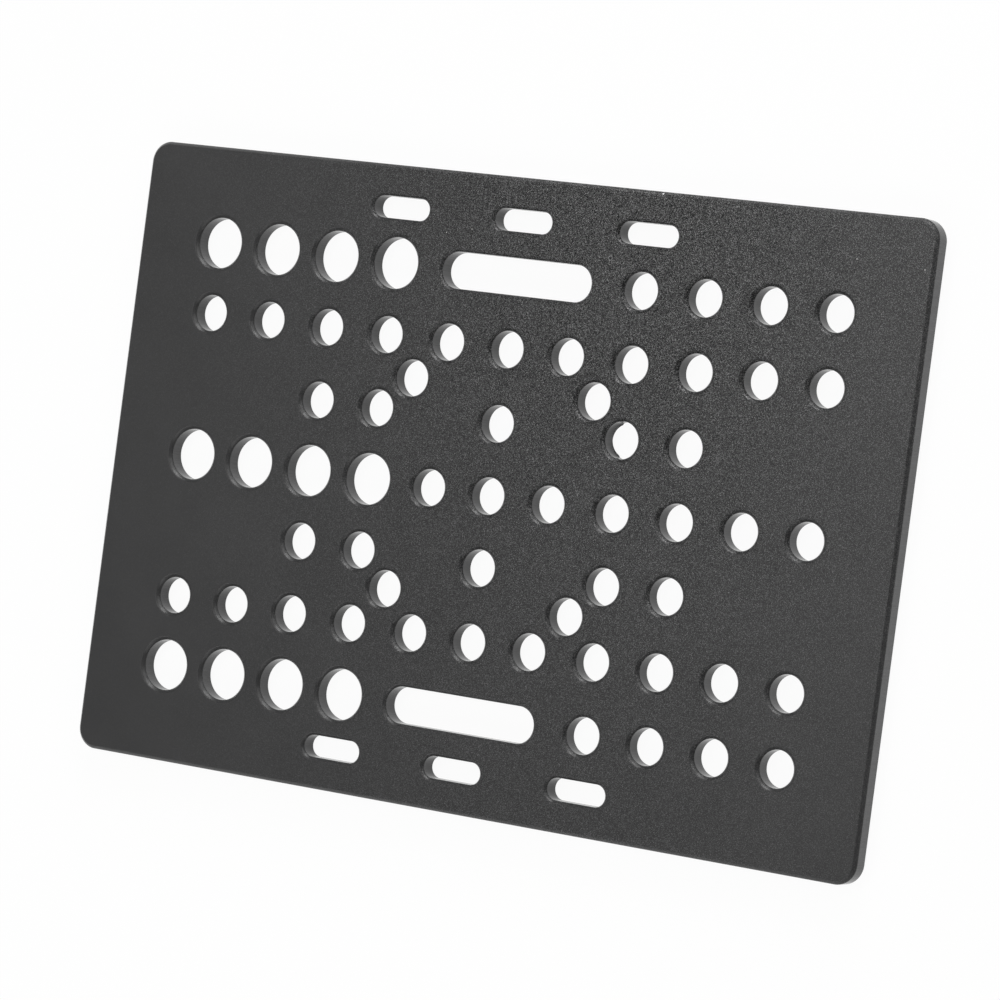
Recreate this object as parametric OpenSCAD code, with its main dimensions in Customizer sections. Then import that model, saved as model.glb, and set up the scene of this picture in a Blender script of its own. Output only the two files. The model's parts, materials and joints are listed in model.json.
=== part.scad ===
// Universal gantry plate: one flat aluminium plate, drilled and slotted for rail wheels and bolts.
// It lies on its back face at z = 0, with the front face up and the middle bolt hole on the Z axis.

/* [Plate] */
// Length of the plate, along X
plate_length = 127; // [122:0.5:160]
// Width of the plate, along Y
plate_width = 88; // [84:0.5:120]
// Thickness of the plate, from the back face to the front face
plate_thickness = 3; // [2:0.1:6]
// Radius of the four corners, seen from the front
corner_radius = 3; // [1:0.1:6]
// Edge break of the outline, on both faces
outline_break = 0.45; // [0.1:0.05:0.8]

/* [Hole sizes] */
// Diameter of the bolt holes
bolt_hole_d = 5.15; // [4:0.05:6]
// Diameter of the larger holes that seat eccentric wheel spacers
spacer_hole_d = 7.2; // [6:0.05:8]
// Edge break of every hole's rim, on both faces
hole_break = 0.45; // [0.1:0.05:0.8]

/* [Wheel holes] */
// Distance from the middle to the first wheel column, on either side
first_wheel_column = 19.85; // [19:0.05:21]
// Step from one wheel column to the next
wheel_column_step = 10; // [9:0.1:11.5]
// Number of wheel columns on either side
wheel_column_count = 4; // [2:1:4]
// Distance from the middle row to the outer wheel rows
wheel_row = 30.35; // [29:0.05:31.5]

/* [Bolt rows] */
// Distance from the middle row to the rows of bolt holes that run the whole length
long_row = 20.3; // [19:0.05:21.5]
// Distance from the middle row to the short rows of bolt holes
short_row = 10; // [9:0.05:11]
// Number of wheel columns on either side that the short rows reach
short_row_columns = 2; // [1:1:2]
// Distance from the middle to the inner columns of bolt holes
inner_column = 9.68; // [8:0.02:11]
// Distance of the four diagonal holes from the middle, along X and along Y
diagonal_offset = 14.76; // [14.4:0.02:15.1]

/* [Slots] */
// Edge break of every slot's rim, on both faces
slot_break = 0.35; // [0.1:0.05:0.8]
// Overall length of the two bolt slots between the outer wheel columns
long_slot_length = 24.1; // [12:0.1:26]
// Overall length of the small slots along the long edges
short_slot_length = 9.2; // [6:0.1:14]
// Width of the small slots
short_slot_width = 3.1; // [2:0.05:4]
// Step from one small slot to the next
short_slot_step = 20; // [16:0.1:24]
// Distance from the middle row to the small slots
short_slot_row = 38.05; // [37.6:0.05:40]

/* [Hidden] */
$fn = 96;
// Run of every cutting form past the face that it opens
overshoot = 1;
plate_colour = [0.27, 0.27, 0.28];
// Corner centres, and the columns that the holes stand in
corner_x = plate_length / 2 - corner_radius;
corner_y = plate_width / 2 - corner_radius;
wheel_x = [for (i = [0 : wheel_column_count - 1]) first_wheel_column + i * wheel_column_step];
short_row_x = [for (i = [0 : short_row_columns - 1]) wheel_x[i]];
short_slot_x = [-short_slot_step, 0, short_slot_step];
// The bolt slots take the same bolts as the bolt holes
long_slot_width = bolt_hole_d;

// The same distances on both sides of the middle, with or without the middle itself
function negated(list) = [for (v = list) -v];
function either_side(list) = concat(negated(list), list);
function all_across(list) = concat(either_side(list), [0]);

// Outer wall from the back face to the front face, as [distance, height], with its edges broken
function outer_wall(half) = [
    [half - outline_break, 0],
    [half, outline_break],
    [half, plate_thickness - outline_break],
    [half - outline_break, plate_thickness]
];

// Wall of a hole or slot, with both rims broken and run on past the faces
function inner_wall(half, rim_break) = [
    [half + rim_break + overshoot, -overshoot],
    [half, rim_break],
    [half, plate_thickness - rim_break],
    [half + rim_break + overshoot, plate_thickness + overshoot]
];

function mirrored(wall) = [for (i = [len(wall) - 1 : -1 : 0]) [-wall[i].x, wall[i].y]];

// A wall turned about the Z axis
module round_form(wall) {
    rotate_extrude()
        polygon(concat([[0, wall[0].y]], wall, [[0, wall[3].y]]));
}

// A wall on both sides of the X axis, drawn out along it
module straight_form(wall, length) {
    rotate([90, 0, 90])
        linear_extrude(length, center = true)
            polygon(concat(wall, mirrored(wall)));
}

module blank() {
    straight_form(outer_wall(plate_width / 2), 2 * corner_x);
    rotate([0, 0, 90])
        straight_form(outer_wall(plate_length / 2), 2 * corner_y);
    for (x = either_side([corner_x]), y = either_side([corner_y]))
        translate([x, y, 0])
            round_form(outer_wall(corner_radius));
}

module holes(diameter, columns, rows) {
    for (x = columns, y = rows)
        translate([x, y, 0])
            round_form(inner_wall(diameter / 2, hole_break));
}

module slots(length, width, columns, rows) {
    wall = inner_wall(width / 2, slot_break);
    straight = length - width;
    for (x = columns, y = rows)
        translate([x, y, 0]) {
            straight_form(wall, straight);
            for (end = either_side([straight / 2]))
                translate([end, 0, 0])
                    round_form(wall);
        }
}

// Wheels that run on plain spacers bolt on at +X, wheels that are set by eccentric spacers at -X
module wheel_holes() {
    rows = all_across([wheel_row]);
    holes(bolt_hole_d, wheel_x, rows);
    holes(spacer_hole_d, negated(wheel_x), rows);
}

module bolt_holes() {
    holes(bolt_hole_d, all_across(concat([inner_column], wheel_x)), either_side([long_row]));
    holes(bolt_hole_d, all_across(short_row_x), either_side([short_row]));
    holes(bolt_hole_d, all_across([inner_column]), [0]);
    holes(bolt_hole_d, either_side([diagonal_offset]), either_side([diagonal_offset]));
}

module bolt_slots() {
    slots(long_slot_length, long_slot_width, [0], either_side([wheel_row]));
    slots(short_slot_length, short_slot_width, short_slot_x, either_side([short_slot_row]));
}

module gantry_plate() {
    color(plate_colour)
        difference() {
            blank();
            wheel_holes();
            bolt_holes();
            bolt_slots();
        }
}

gantry_plate();
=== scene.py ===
"""Gantry plate in black anodised aluminium, laid flat on a white studio floor.

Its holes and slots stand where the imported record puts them. Lengths are in metres.
"""

import json
from collections import namedtuple
from math import atan2, cos, pi, radians, sin

import bmesh
import bpy
from bpy.props import FloatProperty, FloatVectorProperty, IntProperty, PointerProperty
from mathutils import Matrix, Vector


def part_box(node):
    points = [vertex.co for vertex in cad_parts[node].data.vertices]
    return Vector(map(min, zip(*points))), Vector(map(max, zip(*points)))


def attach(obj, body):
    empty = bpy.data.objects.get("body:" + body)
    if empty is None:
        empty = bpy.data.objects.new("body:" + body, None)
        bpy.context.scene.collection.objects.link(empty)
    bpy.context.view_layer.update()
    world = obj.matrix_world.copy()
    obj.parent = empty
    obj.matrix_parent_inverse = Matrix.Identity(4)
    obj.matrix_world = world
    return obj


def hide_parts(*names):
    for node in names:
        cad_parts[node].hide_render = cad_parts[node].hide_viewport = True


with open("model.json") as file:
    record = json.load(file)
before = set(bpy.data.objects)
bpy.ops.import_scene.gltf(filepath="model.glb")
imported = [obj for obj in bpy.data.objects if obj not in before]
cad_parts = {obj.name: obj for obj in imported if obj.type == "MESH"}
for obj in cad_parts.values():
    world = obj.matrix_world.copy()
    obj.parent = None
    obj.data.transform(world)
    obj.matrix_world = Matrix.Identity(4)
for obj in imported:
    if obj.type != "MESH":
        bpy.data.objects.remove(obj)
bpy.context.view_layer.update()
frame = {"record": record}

bl_info = {
    "name": "Gantry plate",
    "version": (1, 0, 0),
    "blender": (4, 5, 0),
    "location": "3D View > Sidebar > Gantry plate",
    "description": "Drilled and slotted gantry plate with its blasted black finish",
    "category": "Object",
}

MM = 0.001
NODE = "gantry_plate"
PLATE_LOW, PLATE_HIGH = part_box(NODE)
THICKNESS = PLATE_HIGH.z - PLATE_LOW.z
# The plate's two materials, in the order of its material slots
FACE, WALL = 0, 1
# How upright a normal is on the flat faces at least, and on the walls at most
FLAT_FACE, STEEP_WALL = 0.999, 0.1
# Points closer than this are the same point
NEAR = 1e-7
# Faces across each rounded corner: where a rim meets the flat face, and where it meets the wall
FACE_PARTS, EDGE_PARTS = 3, 1
# Width of the picture that the camera's lens is given for, in mm
PICTURE_WIDTH = 36.0

# A hole or slot: its place, its radius, half of its straight run and its edge break
Cut = namedtuple("Cut", "place radius reach rim")
# A mark on the front: its place, its radius and how far below the front face it lies, in mm
Mark = namedtuple("Mark", "x y radius drop", defaults=(0.0,))
# A change along one axis: the two places it runs between, in mm, and its value at either
Fade = namedtuple("Fade", "start end first last")
# A soft lamp: where it stands, its width and height, and how bright it looks
Softbox = namedtuple("Softbox", "name place size radiance")

BURRED_HOLE = Vector((19.85, 10.0, 0.0)) * MM
NICK = Mark(21.47, 43.74, 0.20, 0.19)
# The pit is painted only, with painted shade in it and a painted highlight round its lip
PIT = Mark(14.68, 34.30, 0.30)
# The last two specks lie in a row below the pit
DUST = (
    Mark(-11.97, 35.35, 0.09),
    Mark(-7.91, 36.18, 0.09),
    Mark(52.0, 37.73, 0.10),
    Mark(62.11, 37.25, 0.10),
    Mark(14.59, 33.89, 0.045),
    Mark(14.66, 33.41, 0.045),
)
# Shares of a mark's radius: the solid cores of the dust and of the nick's bare metal, the floor and wall
# of the pit's painted shade, and where the ring of painted highlight round the pit starts and dies out
DUST_CORE, BARE_CORE = 0.4, 0.5
PIT_FLOOR, PIT_WALL, RING_START, RING_END = 0.4, 0.8, 0.6, 1.35

# The grain's contrast, with its painted glints, is strongest along the upper middle and faint at the left
# end
GRAIN_FADE_LEFT = Fade(-58.0, 17.0, 0.10, 1.0)
GRAIN_FADE_RIGHT = Fade(22.0, 66.0, 1.0, 0.54)
GRAIN_FADE_ACROSS = Fade(-42.0, 40.0, 0.42, 1.0)
# Cells of the grain below and above these values count as dark and as pale
DARK_CELL, PALE_CELL = 0.25, 0.75
# The cutter's lines run up the walls, and their dye goes from the first to the second of these shares
LINE_RUN = (1.0, 1.0, 0.06)
LINE_SHADES = (0.5, 1.5)

SOFTBOXES = (
    Softbox("overhead_softbox", Vector((-0.208, 0.172, 0.723)), (0.53, 0.20), 4.55),
    Softbox("upper_softbox", Vector((0.032, 0.581, 0.214)), (0.34, 0.25), 10.2),
    Softbox("side_softbox", Vector((0.394, 0.380, 0.291)), (0.40, 0.25), 3.3),
    Softbox("lower_softbox", Vector((-0.045, -0.394, 0.280)), (0.89, 0.30), 2.05),
)


def length_prop(name, description, millimetres):
    """A length that the panel shows, with its default given in millimetres."""
    return FloatProperty(name=name, description=description, default=millimetres * MM, min=0.0,
                         precision=5, subtype="DISTANCE", unit="LENGTH")


def angle_prop(name, description, degrees):
    """An angle that the panel shows, with its default given in degrees."""
    return FloatProperty(name=name, description=description, default=radians(degrees),
                         precision=4, subtype="ANGLE", unit="ROTATION")


def place_prop(name, description, default):
    """A point in the scene."""
    return FloatVectorProperty(name=name, description=description, default=default, size=3,
                               precision=6, subtype="TRANSLATION", unit="LENGTH")


def share_prop(name, description, default):
    """A share between nothing and all."""
    return FloatProperty(name=name, description=description, default=default, min=0.0, max=1.0,
                         precision=3, subtype="FACTOR")


def number_prop(name, description, default, high):
    """A plain number from 1 up."""
    return FloatProperty(name=name, description=description, default=default, min=1.0, max=high,
                         precision=3)


def colour_prop(name, description, default):
    """A colour, written as linear light."""
    return FloatVectorProperty(name=name, description=description, default=default, size=3,
                               min=0.0, max=1.0, subtype="COLOR")


class PlateSizes(bpy.types.PropertyGroup):
    """Sizes of the plate's edges, slots and wear."""

    corner_radius: length_prop("Corner radius", "Radius of the four corners", 3.0)
    outline_break: length_prop("Outline break", "Edge break along the outline", 0.45)
    hole_break: length_prop("Hole break", "Edge break round every hole", 0.45)
    slot_break: length_prop("Slot break", "Edge break round every slot", 0.35)
    bolt_slot_length: length_prop("Bolt slot length", "Overall length of the two bolt slots", 24.1)
    edge_softness: length_prop("Edge softness", "How far blasting has rounded each edge", 0.06)
    rim_softness: length_prop("Rim softness", "How far blasting has rounded each rim into the face", 0.10)
    burr_reach: length_prop("Burr reach", "How far the burred hole's back rim leans in", 0.18)
    burr_height: length_prop("Burr height", "How far up the wall the burr starts", 0.75)
    burr_spread: angle_prop("Burr spread", "How far round the hole the burr goes on either side", 63.0)
    nick_width: length_prop("Nick width", "Half the width of the nick in the top edge", 0.25)
    nick_depth: length_prop("Nick depth", "Depth of the nick in the top edge", 0.14)
    round_steps: IntProperty(name="Round steps", description="Faces round each hole",
                             default=64, min=16, max=128)


class PlateFinish(bpy.types.PropertyGroup):
    """Colours and texture of the blasted, dyed surface."""

    dark_dye: colour_prop("Dark dye", "Dye in the hollows of the grain", (0.003, 0.003, 0.003))
    # The pale dye is partly the grain's own tone and partly painted glints of the blasted facets
    pale_dye_and_glints: colour_prop("Pale dye and glints", "Dye on the peaks of the grain", (0.450, 0.450, 0.455))
    wall_dye: colour_prop("Wall dye", "Dye on the cut walls", (0.046, 0.046, 0.047))
    bare_metal: colour_prop("Bare metal", "Aluminium where the dye is knocked off", (0.82, 0.82, 0.83))
    dust_colour: colour_prop("Dust", "Dust specks on the front face", (0.62, 0.62, 0.60))
    mean_level: share_prop("Mean level", "Where the mean dye lies between dark and pale", 0.078)
    cloud_size: length_prop("Cloud size", "Distance from cloud to cloud in the dye", 9.0)
    cloud_share: share_prop("Cloud share", "How far the clouds shift the dye", 0.025)
    # The pit is painted only: a pale ring paints a highlight on its lip, and painted shade darkens its
    # hollow
    lip_highlight_share: share_prop("Ring share", "How much paler the ring round the pit is", 0.28)
    pit_shade_share: share_prop("Hollow share", "How much darker the pit itself is", 0.1)
    grain_size: length_prop("Grain size", "Distance from peak to peak of the blasted grain", 0.06)
    grain_depth: length_prop("Grain depth", "Depth of the blasted grain", 0.016)
    grain_bump: share_prop("Grain bump", "How far the grain's depth tilts the light", 0.5)
    grain_contrast: share_prop("Grain contrast", "How far the dye follows the grain", 1.0)
    grain_peaks: number_prop("Grain peaks", "How rare the pale peaks of the grain are", 8.0, 20.0)
    grain_gloss: share_prop("Grain gloss", "How much glossier the pale cells of the grain are", 0.3)
    seal_share: share_prop("Seal share", "How much of the seal's sheen lies on the faces", 0.57)
    seal_roughness: share_prop("Seal roughness", "Roughness of the seal's sheen", 0.37)
    face_roughness: share_prop("Face roughness", "Roughness of the blasted faces", 0.42)
    face_ior: number_prop("Face IOR", "Index of refraction of the blasted faces", 1.15, 3.0)
    line_width: length_prop("Line width", "Distance from line to line of the cutter", 0.2)
    line_depth: length_prop("Line depth", "Depth of the cutter's lines", 0.01)
    line_bump: share_prop("Line bump", "How far the lines' depth tilts the light", 0.4)
    line_contrast: share_prop("Line contrast", "How far the dye follows the cutter's lines", 0.9)
    line_gloss: share_prop("Line gloss", "How far the gloss follows the cutter's lines", 0.15)
    wall_roughness: share_prop("Wall roughness", "Roughness of the cut walls", 0.14)
    wall_ior: number_prop("Wall IOR", "Index of refraction of the cut walls", 1.48, 3.0)


class StudioSetup(bpy.types.PropertyGroup):
    """Floor, room light and camera."""

    floor_colour: colour_prop("Floor", "Colour of the floor", (0.9, 0.9, 0.9))
    floor_roughness: share_prop("Floor roughness", "Roughness of the floor", 0.9)
    floor_glow: share_prop("Floor glow", "How far the floor shows as white background", 0.95)
    floor_reach: length_prop("Floor reach", "Half the width of the floor", 4000.0)
    floor_gap: length_prop("Floor gap", "Gap between the floor and the plate", 0.02)
    ambient: colour_prop("Ambient", "Light from the room", (0.12, 0.12, 0.12))
    camera_place: place_prop("Camera place", "Where the camera stands", (0.348086, 0.012345, 0.569258))
    camera_aim: place_prop("Camera aim", "Point in the middle of the view", (0.001963, -0.000308, 0.0025))
    camera_roll: angle_prop("Camera roll", "Turn of the camera about its line of sight", -84.328)
    camera_lens: FloatProperty(name="Camera lens", description="Focal length on a 36 mm wide picture",
                               default=174.349, precision=3, unit="CAMERA")


class Signal:
    """A shader socket. Arithmetic on it adds Math nodes, and node() adds any other node."""

    def __init__(self, tree, socket=None):
        self.tree = tree
        self.socket = socket

    def node(self, kind, settings=None, sockets=None, output=0):
        """Adds a node, sets it up, fills its sockets and hands back one of its outputs."""
        made = self.tree.nodes.new("ShaderNode" + kind)
        for name, value in (settings or {}).items():
            setattr(made, name, value)
        for name, value in (sockets or {}).items():
            if isinstance(value, Signal):
                self.tree.links.new(value.socket, made.inputs[name])
            else:
                made.inputs[name].default_value = value
        return Signal(self.tree, made.outputs[output])

    def maths(self, operation, first, second):
        """Adds one Math node."""
        return self.node("Math", {"operation": operation}, {0: first, 1: second})

    def __add__(self, other):
        return self.maths("ADD", self, other)

    def __radd__(self, other):
        return self.maths("ADD", other, self)

    def __sub__(self, other):
        return self.maths("SUBTRACT", self, other)

    def __rsub__(self, other):
        return self.maths("SUBTRACT", other, self)

    def __mul__(self, other):
        return self.maths("MULTIPLY", self, other)

    def __rmul__(self, other):
        return self.maths("MULTIPLY", other, self)

    def __pow__(self, other):
        return self.maths("POWER", self, other)

    def __rpow__(self, other):
        return self.maths("POWER", other, self)

    def most(self, other):
        """The greater of this value and another."""
        return self.maths("MAXIMUM", self, other)

    def ramp(self, start, end, low=0.0, high=1.0):
        """Goes smoothly from low to high as this value goes from start to end."""
        return self.node("MapRange", {"interpolation_type": "SMOOTHSTEP"},
                         {"Value": self, "From Min": start, "From Max": end, "To Min": low, "To Max": high})

    def fade(self, fade):
        """Follows a fade, with this value as the place along it."""
        return self.ramp(fade.start * MM, fade.end * MM, fade.first, fade.last)

    def blend(self, first, second):
        """Colour that goes from first to second as this value goes from 0 to 1."""
        # The Mix node takes colours at sockets 6 and 7 and gives one at output 2
        return self.node("Mix", {"data_type": "RGBA"}, {0: self, 6: first, 7: second}, output=2)

    def noise(self, size, detail):
        """Noise over this place, about size from peak to peak."""
        return self.node("TexNoise", {}, {"Vector": self, "Scale": 1.0 / size, "Detail": detail})

    def distance(self, mark):
        """Distance of this place from a mark."""
        point = (mark.x * MM, mark.y * MM, THICKNESS - mark.drop * MM)
        return self.node("VectorMath", {"operation": "DISTANCE"}, {0: self, 1: point}, output="Value")

    def spot(self, mark, core):
        """1 in the core of a mark, which is a share of its radius, and 0 outside the mark."""
        radius = mark.radius * MM
        return self.distance(mark).ramp(radius, core * radius)


def opaque(colour):
    """A colour as a socket takes it."""
    return (*colour, 1.0)


def new_material(name):
    """A new material, with its node tree and its one shader."""
    material = bpy.data.materials.new(name)
    material.use_nodes = True
    return material, material.node_tree, material.node_tree.nodes["Principled BSDF"]


def feed(tree, shader, links):
    """Links signals to the shader's sockets."""
    for name, signal in links.items():
        tree.links.new(signal.socket, shader.inputs[name])


def blasted_anodise(finish):
    """Black anodise over a bead-blasted face: fine grain whose pale cells are partly painted glints, and the
    few marks that the plate carries, among them a pit painted with shade and a highlight.
    """
    material, tree, shader = new_material("blasted_black_anodise")
    place = Signal(tree).node("TexCoord", output="Object")
    along = place.node("SeparateXYZ", {}, {0: place}, output="X")
    across = place.node("SeparateXYZ", {}, {0: place}, output="Y")
    cells = {"Vector": place, "Scale": 1.0 / finish.grain_size}
    shade = place.node("TexVoronoi", {}, cells, output="Color")
    grain = shade.node("SeparateColor", {}, {0: shade}, output="Red")
    dimple = place.node("TexVoronoi", {}, cells, output="Distance")
    grain_strength = along.fade(GRAIN_FADE_LEFT) * along.fade(GRAIN_FADE_RIGHT) * across.fade(GRAIN_FADE_ACROSS)
    # Few cells of the grain are pale, partly the grain's own tone and partly painted glints of the blasted
    # facets, and their mean is 1 whatever their number
    peaks = (1 + finish.grain_peaks) * grain ** finish.grain_peaks
    clouds = finish.cloud_share * (place.noise(finish.cloud_size, detail=2.0) - 0.5)
    level = finish.mean_level * (1 + finish.grain_contrast * grain_strength * (peaks - 1)) + clouds
    # The pit has no depth of its own: painted shade darkens its hollow, and a pale ring round it is a
    # painted highlight on its lip
    pit = PIT.radius * MM
    off_pit = place.distance(PIT)
    ring = off_pit.ramp(RING_START * pit, pit) * off_pit.ramp(RING_END * pit, pit)
    pit_shade = off_pit.ramp(PIT_WALL * pit, PIT_FLOOR * pit)
    level = level + finish.lip_highlight_share * ring - finish.pit_shade_share * pit_shade
    # The pale end of this blend carries the painted glints, and the level carries the pit's painted shade
    # and highlight
    dye = level.blend(opaque(finish.dark_dye), opaque(finish.pale_dye_and_glints))
    dust = place.spot(DUST[0], DUST_CORE)
    for mark in DUST[1:]:
        dust = dust.most(place.spot(mark, DUST_CORE))
    dusty = dust.blend(dye, opaque(finish.dust_colour))
    colour = place.spot(NICK, BARE_CORE).blend(dusty, opaque(finish.bare_metal))
    # The pale cells are glossier than the dark ones and keep more of the seal's sheen
    roughness = finish.face_roughness + finish.grain_gloss * grain_strength * (0.5 - grain)
    seal = (finish.seal_share + grain_strength * (grain.ramp(DARK_CELL, PALE_CELL) - 0.5)) * (1 - pit_shade)
    bump = dimple.node("Bump", {}, {"Strength": finish.grain_bump, "Distance": finish.grain_depth,
                                    "Height": dimple})
    feed(tree, shader, {"Base Color": colour, "Roughness": roughness, "Coat Weight": seal, "Normal": bump})
    shader.inputs["Coat Roughness"].default_value = finish.seal_roughness
    shader.inputs["IOR"].default_value = finish.face_ior
    return material


def cut_wall(finish):
    """Black anodise over a cut wall, with the faint upright lines of the cutter."""
    material, tree, shader = new_material("cut_black_anodise")
    place = Signal(tree).node("TexCoord", output="Object")
    drawn = place.node("VectorMath", {"operation": "MULTIPLY"}, {0: place, 1: LINE_RUN})
    lines = drawn.noise(finish.line_width, detail=1.0)
    level = 0.5 + finish.line_contrast * (lines - 0.5)
    dark, pale = ([share * value for value in finish.wall_dye] for share in LINE_SHADES)
    colour = level.blend(opaque(dark), opaque(pale))
    roughness = finish.wall_roughness + finish.line_gloss * (lines - 0.5)
    bump = lines.node("Bump", {}, {"Strength": finish.line_bump, "Distance": finish.line_depth,
                                   "Height": lines})
    feed(tree, shader, {"Base Color": colour, "Roughness": roughness, "Normal": bump})
    shader.inputs["IOR"].default_value = finish.wall_ior
    return material


def key_of(x, y):
    """A place to the nearest micrometre, so that every hole is found only once."""
    return round(x, 6), round(y, 6)


def places_of(mount):
    """Where one mount's holes stand, from its middle and its spacings."""
    dims = mount["dims"]
    x, y, _ = mount["pos_m"]
    half_x = dims.get("spacing_x_mm", 0.0) * MM / 2
    half_y = dims.get("spacing_y_mm", 0.0) * MM / 2
    return sorted({key_of(x + i * half_x, y + j * half_y) for i in (-1, 1) for j in (-1, 1)})


def plate_cuts(sizes):
    """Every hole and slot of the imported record, once each."""
    found = {}
    bolt_radius = None
    for mount in frame["record"]["mounts"]:
        dims = mount["dims"]
        radius = dims.get("hole_r_mm", dims.get("r_mm"))
        if radius is None:
            continue
        if mount["kind"] == "bore":
            bolt_radius = radius * MM
        run = dims.get("slot_length_mm", 2 * radius) / 2 - radius
        rim = sizes.slot_break if "slot_length_mm" in dims else sizes.hole_break
        for x, y in places_of(mount):
            found[x, y] = Cut(Vector((x, y, 0.0)), radius * MM, run * MM, rim)
    if bolt_radius is None:
        raise RuntimeError("the record has no bore to take the bolt size from")
    for opening in frame["record"]["physics"]["openings"]:
        if opening["name"].endswith("bolt_slot"):
            low, high = map(Vector, opening["box_m"])
            middle = (low + high) / 2
            middle.z = 0.0
            run = sizes.bolt_slot_length / 2 - bolt_radius
            found[key_of(middle.x, middle.y)] = Cut(middle, bolt_radius, run, sizes.slot_break)
    return list(found.values())


def rounded(before, corner, after, softness, parts):
    """Points of a corner that is rounded off over the same distance on both sides."""
    start = corner + (before - corner).normalized() * softness
    end = corner + (after - corner).normalized() * softness
    shares = [part / parts for part in range(parts + 1)]
    return [start * (1 - t) ** 2 + corner * 2 * t * (1 - t) + end * t ** 2 for t in shares]


def wall_profile(radius, flare, face_softness, edge_softness):
    """Wall from the back face to the front face, as distance and height, with rounded corners."""
    rim = Vector((radius + flare, 0.0))
    wall = Vector((radius, abs(flare)))
    along_face = Vector((rim.x + flare, 0.0))
    up_wall = Vector((radius, THICKNESS / 2))
    back = rounded(along_face, rim, wall, face_softness, FACE_PARTS)
    back += rounded(rim, wall, up_wall, edge_softness, EDGE_PARTS)
    # A ring close to the corner keeps the wall's shading straight
    back.append(wall + Vector((0.0, 2 * edge_softness)))
    front = [Vector((point.x, THICKNESS - point.y)) for point in reversed(back)]
    return back + front


def make_wall(profile, place, reach_x, reach_y, steps):
    """Turns a wall profile about the Z axis, draws it out into a slot or outline and moves it into place."""
    bm = bmesh.new()
    turn = pi / steps
    line = [bm.verts.new((point.x * cos(turn), point.x * sin(turn), point.y)) for point in profile]
    edges = [bm.edges.new(pair) for pair in zip(line, line[1:])]
    bmesh.ops.spin(bm, geom=line + edges, cent=(0.0, 0.0, 0.0), axis=(0.0, 0.0, 1.0),
                   angle=2 * pi, steps=steps, use_merge=True)
    for side in (-1, 1):
        ends = [vert for vert in bm.verts if vert.co.x * side > 0]
        bmesh.ops.translate(bm, verts=ends, vec=(side * reach_x, 0.0, 0.0))
        ends = [vert for vert in bm.verts if vert.co.y * side > 0]
        bmesh.ops.translate(bm, verts=ends, vec=(0.0, side * reach_y, 0.0))
    bmesh.ops.translate(bm, verts=bm.verts, vec=place)
    return bm


def join_wall(bm, wall):
    """Adds a finished wall to the plate."""
    mesh = bpy.data.meshes.new("wall")
    wall.to_mesh(mesh)
    wall.free()
    bm.from_mesh(mesh)
    bpy.data.meshes.remove(mesh)


def split(bm, faces, point, normal):
    """Cuts these faces along a plane and hands back the new vertices."""
    edges = {edge for face in faces for edge in face.edges}
    verts = {vert for face in faces for vert in face.verts}
    cut = bmesh.ops.bisect_plane(bm, geom=[*verts, *edges, *faces], dist=NEAR,
                                 plane_co=point, plane_no=normal)
    return [item for item in cut["geom_cut"] if isinstance(item, bmesh.types.BMVert)]


def burr_share(angle, spread):
    """Share of the burr at an angle round the hole: two tongues that start abruptly and die out at left."""
    off_left = pi - abs(angle)
    return 0.0 if off_left > spread else off_left / spread


def lean_burr(wall, sizes):
    """Leans the back rim of the burred hole inwards."""
    split(wall, wall.faces[:], (0.0, 0.0, sizes.burr_height), (0.0, 0.0, 1.0))
    for vert in wall.verts:
        if vert.co.z > sizes.burr_height - NEAR:
            continue
        out = vert.co - BURRED_HOLE
        out.z = 0.0
        share = burr_share(atan2(out.y, out.x), sizes.burr_spread) * min(1.0, vert.co.z / sizes.hole_break)
        vert.co -= out.normalized() * share * sizes.burr_reach


def strike_nick(outline, sizes):
    """Knocks a small nick into the front corner of the top edge."""
    for offset in (-sizes.nick_width, sizes.nick_width, 0.0):
        edge = [face for face in outline.faces if face.calc_center_median().y > 0.0]
        middle = split(outline, edge, (NICK.x * MM + offset, 0.0, 0.0), (1.0, 0.0, 0.0))
    struck = [vert for vert in middle if vert.co.z > THICKNESS - sizes.outline_break]
    bmesh.ops.translate(outline, verts=struck, vec=(0.0, -sizes.nick_depth, 0.0))


def cap(bm, height):
    """Closes one flat face between all the walls."""
    rims = [edge for edge in bm.edges if edge.is_boundary and abs(edge.verts[0].co.z - height) < NEAR]
    bmesh.ops.triangle_fill(bm, use_beauty=True, use_dissolve=False, edges=rims, normal=(0.0, 0.0, 1.0))


def plate_outline(sizes):
    """Outer wall of the plate, with its nick."""
    middle, half = (PLATE_LOW + PLATE_HIGH) / 2, (PLATE_HIGH - PLATE_LOW) / 2
    middle.z = PLATE_LOW.z
    radius, softness = sizes.corner_radius, sizes.edge_softness
    profile = wall_profile(radius, -sizes.outline_break, softness, softness)
    outline = make_wall(profile, middle, half.x - radius, half.y - radius, sizes.round_steps)
    strike_nick(outline, sizes)
    return outline


def cut_outline(cut, sizes):
    """Wall of one hole or slot, with the burr where it has one."""
    profile = wall_profile(cut.radius, cut.rim, sizes.rim_softness, sizes.edge_softness)
    wall = make_wall(profile, cut.place, cut.reach, 0.0, sizes.round_steps)
    if (cut.place - BURRED_HOLE).length < MM:
        lean_burr(wall, sizes)
    return wall


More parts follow.
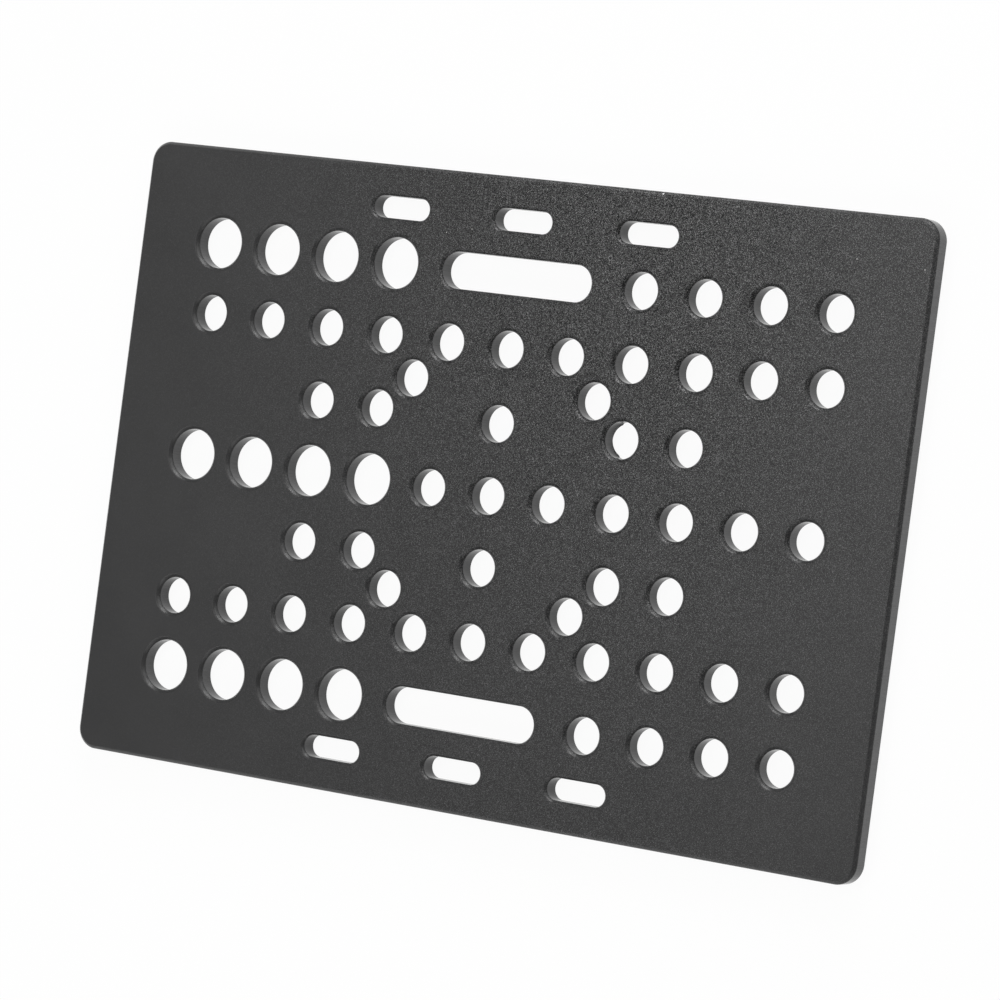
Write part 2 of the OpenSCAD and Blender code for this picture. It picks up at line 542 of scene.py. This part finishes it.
class PLATE_OT_body(bpy.types.Operator):
    """Model the plate with its holes, slots, broken edges and wear"""

    bl_idname = "gantry_plate.body"
    bl_label = "Plate body"

    def execute(self, context):
        sizes, finish = context.scene.plate_sizes, context.scene.plate_finish
        bm = bmesh.new()
        join_wall(bm, plate_outline(sizes))
        for cut in plate_cuts(sizes):
            join_wall(bm, cut_outline(cut, sizes))
        cap(bm, 0.0)
        cap(bm, THICKNESS)
        bmesh.ops.recalc_face_normals(bm, faces=bm.faces)
        if not all(edge.is_manifold for edge in bm.edges):
            raise RuntimeError("the plate's walls and faces don't close")
        for face in bm.faces:
            face.smooth = abs(face.normal.z) < FLAT_FACE
            face.material_index = WALL if abs(face.normal.z) < STEEP_WALL else FACE
        mesh = bpy.data.meshes.new("plate_body")
        bm.to_mesh(mesh)
        bm.free()
        mesh.materials.append(blasted_anodise(finish))
        mesh.materials.append(cut_wall(finish))
        plate = bpy.data.objects.new("plate_body", mesh)
        context.scene.collection.objects.link(plate)
        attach(plate, "root")
        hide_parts(NODE)
        return {"FINISHED"}


def studio_floor(scene, setup):
    """Pale floor that shows as white background and still takes the plate's shadow."""
    bm = bmesh.new()
    bmesh.ops.create_grid(bm, x_segments=1, y_segments=1, size=setup.floor_reach,
                          matrix=Matrix.Translation((0.0, 0.0, -setup.floor_gap)))
    mesh = bpy.data.meshes.new("studio_floor")
    bm.to_mesh(mesh)
    bm.free()
    material, tree, shader = new_material("pale_floor")
    shader.inputs["Base Color"].default_value = opaque(setup.floor_colour)
    shader.inputs["Roughness"].default_value = setup.floor_roughness
    shader.inputs["Specular IOR Level"].default_value = 0.0
    seen = Signal(tree).node("LightPath", output="Is Camera Ray")
    for ray in ("Is Glossy Ray", "Is Transmission Ray"):
        seen = seen.most(seen.node("LightPath", output=ray))
    glow = seen.node("Emission", {}, {"Color": (1.0, 1.0, 1.0, 1.0), "Strength": 1.0})
    pale = Signal(tree, shader.outputs[0])
    surface = seen.node("MixShader", {}, {0: setup.floor_glow * seen, 1: pale, 2: glow})
    tree.links.new(surface.socket, tree.nodes["Material Output"].inputs["Surface"])
    mesh.materials.append(material)
    floor = bpy.data.objects.new("studio_floor", mesh)
    scene.collection.objects.link(floor)


def hang_softbox(scene, box):
    """A soft lamp that faces the plate and that the camera doesn't see."""
    lamp = bpy.data.lights.new(box.name, "AREA")
    lamp.shape = "RECTANGLE"
    lamp.size, lamp.size_y = box.size
    lamp.energy = box.radiance * pi * lamp.size * lamp.size_y
    holder = bpy.data.objects.new(box.name, lamp)
    holder.location = box.place
    holder.rotation_euler = (-box.place).to_track_quat("-Z", "Y").to_euler()
    holder.visible_camera = False
    scene.collection.objects.link(holder)


def stand_camera(scene, setup):
    """Camera that looks down on the plate from its right."""
    camera = bpy.data.cameras.new("studio_camera")
    camera.sensor_width = PICTURE_WIDTH
    camera.lens = setup.camera_lens
    place, aim = Vector(setup.camera_place), Vector(setup.camera_aim)
    turn = (aim - place).to_track_quat("-Z", "Y").to_matrix() @ Matrix.Rotation(setup.camera_roll, 3, "Z")
    holder = bpy.data.objects.new("studio_camera", camera)
    holder.matrix_world = Matrix.LocRotScale(place, turn, None)
    scene.collection.objects.link(holder)
    scene.camera = holder


def light_room(scene, setup):
    """Even light from the whole room."""
    scene.world = bpy.data.worlds.new("studio_room")
    scene.world.use_nodes = True
    room = scene.world.node_tree.nodes["Background"]
    room.inputs["Color"].default_value = opaque(setup.ambient)


class PLATE_OT_studio(bpy.types.Operator):
    """Set up the floor, the lamps, the room light and the camera"""

    bl_idname = "gantry_plate.studio"
    bl_label = "Studio"

    def execute(self, context):
        scene = context.scene
        setup = scene.plate_studio
        studio_floor(scene, setup)
        for box in SOFTBOXES:
            hang_softbox(scene, box)
        light_room(scene, setup)
        stand_camera(scene, setup)
        scene.view_settings.view_transform = "Standard"
        return {"FINISHED"}


class PLATE_PT_sidebar(bpy.types.Panel):
    """Lists the plate's operators and settings in the sidebar"""

    bl_label = "Gantry plate"
    bl_idname = "PLATE_PT_sidebar"
    bl_space_type = "VIEW_3D"
    bl_region_type = "UI"
    bl_category = "Gantry plate"

    def draw(self, context):
        for operator in OPERATORS:
            self.layout.operator(operator.bl_idname)
        for name, group in GROUPS.items():
            settings = getattr(context.scene, name)
            box = self.layout.box()
            for prop in group.__annotations__:
                box.prop(settings, prop)


OPERATORS = (PLATE_OT_body, PLATE_OT_studio)
GROUPS = {"plate_sizes": PlateSizes, "plate_finish": PlateFinish, "plate_studio": StudioSetup}
CLASSES = (*GROUPS.values(), *OPERATORS, PLATE_PT_sidebar)


def register():
    for cls in CLASSES:
        bpy.utils.register_class(cls)
    for name, group in GROUPS.items():
        setattr(bpy.types.Scene, name, PointerProperty(type=group))


def unregister():
    for name in GROUPS:
        delattr(bpy.types.Scene, name)
    for cls in reversed(CLASSES):
        bpy.utils.unregister_class(cls)


def main():
    register()
    bpy.ops.gantry_plate.body()
    bpy.ops.gantry_plate.studio()


if __name__ == "__main__":
    main()
